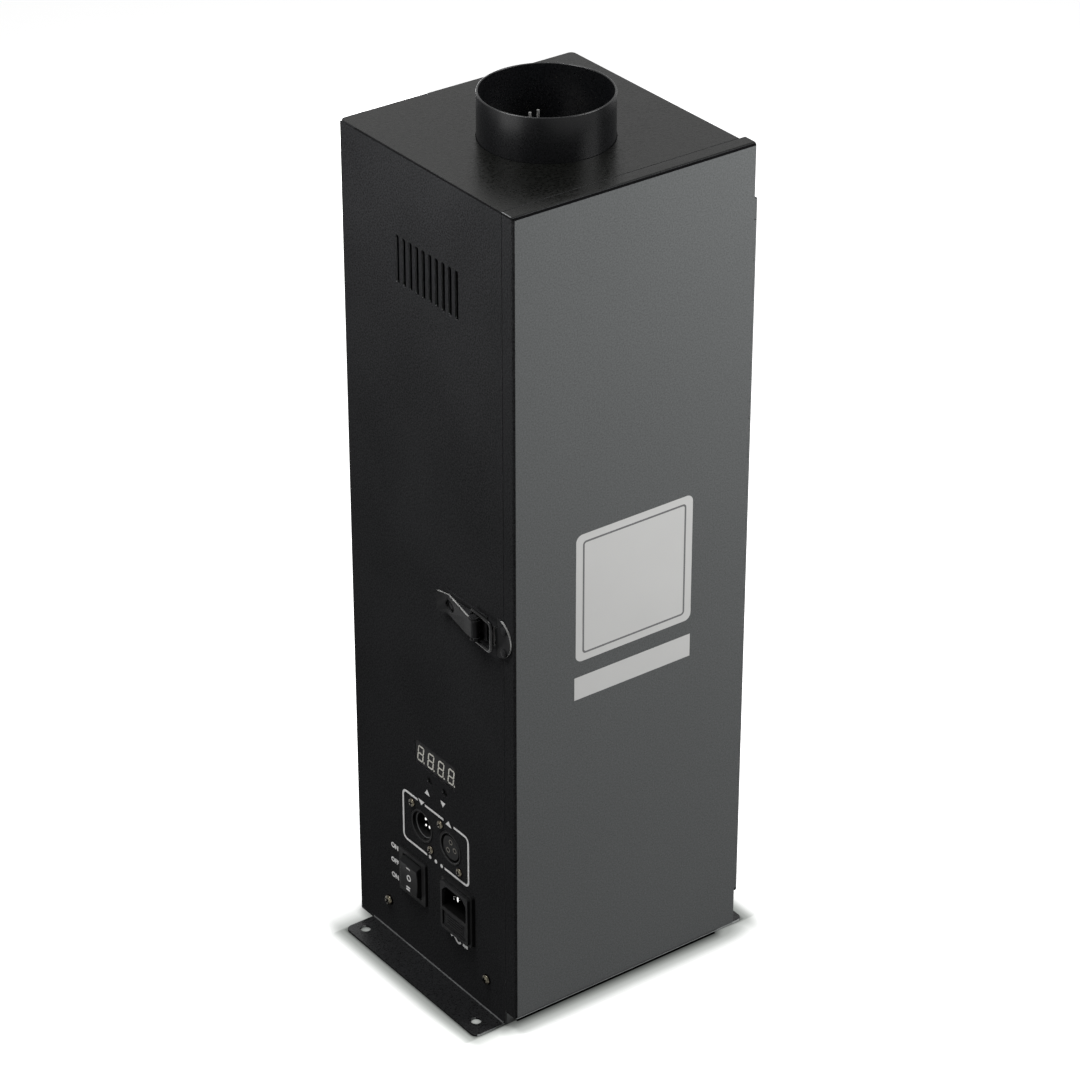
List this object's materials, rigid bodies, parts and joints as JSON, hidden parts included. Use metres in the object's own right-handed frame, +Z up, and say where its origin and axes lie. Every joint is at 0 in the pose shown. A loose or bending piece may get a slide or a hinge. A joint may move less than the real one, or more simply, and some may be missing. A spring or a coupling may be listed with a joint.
{
  "type": "stage flame machine",
  "caption": "Upright square sheet-metal stage flame machine with a round collar on top, a hinged latched door, and a control side with display, connectors, rocker and mains inlet.",
  "frame": {"origin": "centre of the casing's width and of the overall depth, on the underside of the base plate", "axes": "+Z up through the collar, -Y out of the door, -X out of the control side, +X the door's hinge side"},
  "size_m": [0.205, 0.1634, 0.563],
  "materials": {
    "black_powder_coat": "satin, lightly textured powder coat",
    "grey_powder_coat": "satin powder coat",
    "black_steel": "semi-gloss black-finished steel",
    "zinc_steel": "passivated zinc plate",
    "bright_steel": "bright plated metal",
    "brass": "turned brass",
    "black_plastic": "moulded black plastic",
    "display_plastic": "dark display face with light segments",
    "ceramic": "glazed white ceramic, stood in for by gloss plastic",
    "circuit_board": "green circuit board",
    "red_lead": "red silicone lead",
    "fuse_glass": "clear glass"
  },
  "bodies": {
    "casing": {"base_plate": "black_powder_coat", "side_panel_left": "black_powder_coat", "side_panel_right": "black_powder_coat", "rear_panel": "black_powder_coat", "top_plate": "black_powder_coat", "collar": "black_powder_coat", "hinge_leaf_casing": "black_powder_coat", "can_shelf": "grey_powder_coat", "lower_cover": "grey_powder_coat", "hinge_pin": "black_steel", "latch_base": "black_steel", "latch_pin": "black_steel", "latch_rivet_1": "black_steel", "latch_rivet_2": "black_steel", "solenoid_body": "black_steel", "base_screw_1": "zinc_steel", "base_screw_2": "zinc_steel", "base_screw_3": "zinc_steel", "base_screw_4": "zinc_steel", "connector_screw_1": "zinc_steel", "connector_screw_2": "zinc_steel", "connector_screw_3": "zinc_steel", "connector_screw_4": "zinc_steel", "electrode_bracket": "zinc_steel", "actuator_bracket": "zinc_steel", "can_clip": "zinc_steel", "connector_in_pin_1": "bright_steel", "connector_in_pin_2": "bright_steel", "connector_in_pin_3": "bright_steel", "inlet_pin_earth": "bright_steel", "inlet_pin_live": "bright_steel", "inlet_pin_neutral": "bright_steel", "electrode_1": "bright_steel", "electrode_2": "bright_steel", "connector_in_shell": "black_plastic", "connector_out_shell": "black_plastic", "rocker_housing": "black_plastic", "inlet_housing": "black_plastic", "ignition_module": "black_plastic", "display_module": "display_plastic", "insulator_1": "ceramic", "insulator_2": "ceramic", "control_board": "circuit_board", "power_supply": "circuit_board", "ignition_lead_1": "red_lead", "ignition_lead_2": "red_lead"},
    "door": {"door_panel": "grey_powder_coat", "hinge_leaf_door": "black_powder_coat", "latch_keeper": "black_steel", "keeper_rivet_1": "black_steel", "keeper_rivet_2": "black_steel"},
    "latch_lever": {"latch_lever": "black_steel"},
    "latch_loop": {"latch_loop": "black_steel"},
    "button_up": {"button_up": "black_plastic"},
    "button_down": {"button_down": "black_plastic"},
    "rocker": {"rocker": "black_plastic"},
    "fuse_drawer": {"fuse_drawer": "black_plastic", "fuse": "fuse_glass"},
    "plunger": {"solenoid_plunger": "bright_steel", "nozzle": "brass"}
  },
  "joints": [
    {"name": "door_hinge", "type": "hinge", "parent": "casing", "child": "door", "pos_m": [0.087, -0.0781, 0.2685], "axis": [0, 0, 1], "range_deg": [0, 170]},
    {"name": "latch_lever_pivot", "type": "hinge", "parent": "casing", "child": "latch_lever", "pos_m": [-0.0866, -0.0515, 0.271], "axis": [0, 0, 1], "range_deg": [0, 110]},
    {"name": "latch_loop_pivot", "type": "hinge", "parent": "latch_lever", "child": "latch_loop", "pos_m": [-0.0848, -0.0465, 0.271], "axis": [0, 0, 1], "range_deg": [-110, 0]},
    {"name": "button_up_press", "type": "slide", "parent": "casing", "child": "button_up", "axis": [1, 0, 0], "range_m": [0, 0.0005], "stiffness_N_per_m": 1500, "springref_m": -0.0005},
    {"name": "button_down_press", "type": "slide", "parent": "casing", "child": "button_down", "axis": [1, 0, 0], "range_m": [0, 0.0005], "stiffness_N_per_m": 1500, "springref_m": -0.0005},
    {"name": "rocker_tilt", "type": "hinge", "parent": "casing", "child": "rocker", "pos_m": [-0.0786, 0.0223, 0.0571], "axis": [0, -1, 0], "range_deg": [-10, 10]},
    {"name": "fuse_drawer_slide", "type": "slide", "parent": "casing", "child": "fuse_drawer", "axis": [-1, 0, 0], "range_m": [0, 0.018]},
    {"name": "plunger_press", "type": "slide", "parent": "casing", "child": "plunger", "axis": [0, 0, -1], "range_m": [0, 0.005], "stiffness_N_per_m": 400, "springref_m": -0.005}
  ],
  "couplings": [
    {"joint": "latch_loop_pivot", "follows": "latch_lever_pivot", "ratio": -1}
  ]
}
